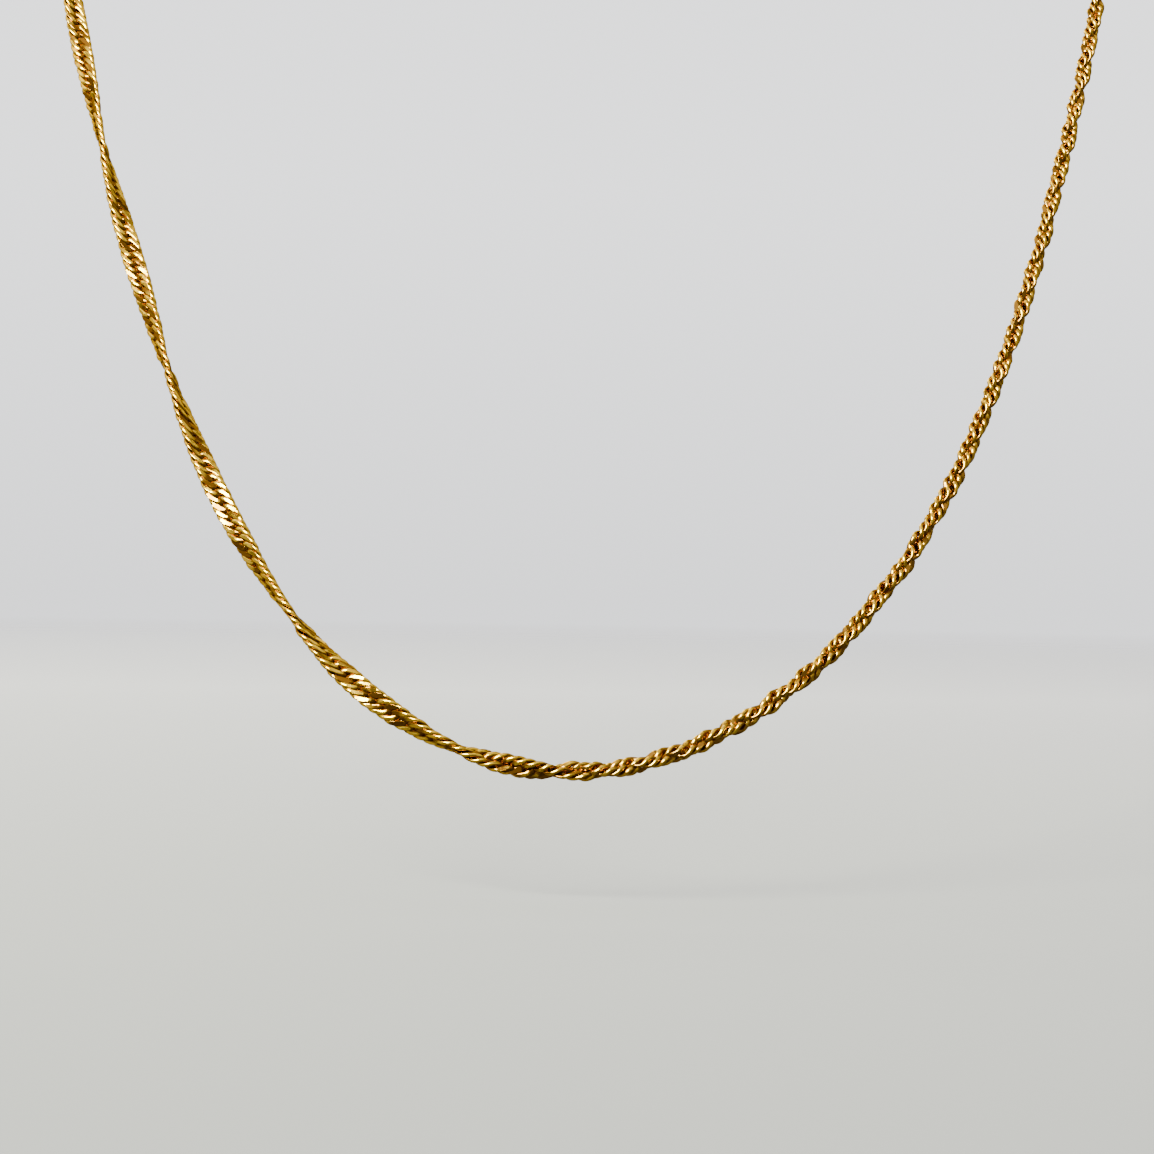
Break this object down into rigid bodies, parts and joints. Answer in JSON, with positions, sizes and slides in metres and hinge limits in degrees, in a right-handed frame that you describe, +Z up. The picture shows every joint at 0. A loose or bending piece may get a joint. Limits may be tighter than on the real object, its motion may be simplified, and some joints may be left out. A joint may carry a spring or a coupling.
{
  "type": "singapore chain necklace",
  "caption": "Fine gold Singapore chain closed into a necklace: flat twisted curb links, an open ribbon on one half and a tight rope on the other, with a spring ring clasp at the nape",
  "frame": {"origin": "the middle of the nape, where the chain lies on the back of the neck and the clasp closes it", "axes": "+Z up, the front of the necklace hangs towards -Y, +X is the tightly turned half"},
  "size_m": [0.1199, 0.1027, 0.1285],
  "materials": {
    "chain_gold": "polished, diamond cut",
    "rope_gold": "polished, diamond cut",
    "clasp_gold": "polished"
  },
  "bodies": {
    "root": {"chain_left": "chain_gold", "chain_right": "rope_gold", "clasp": "clasp_gold", "end_ring_left": "clasp_gold", "end_ring_right": "clasp_gold"}
  },
  "joints": []
}
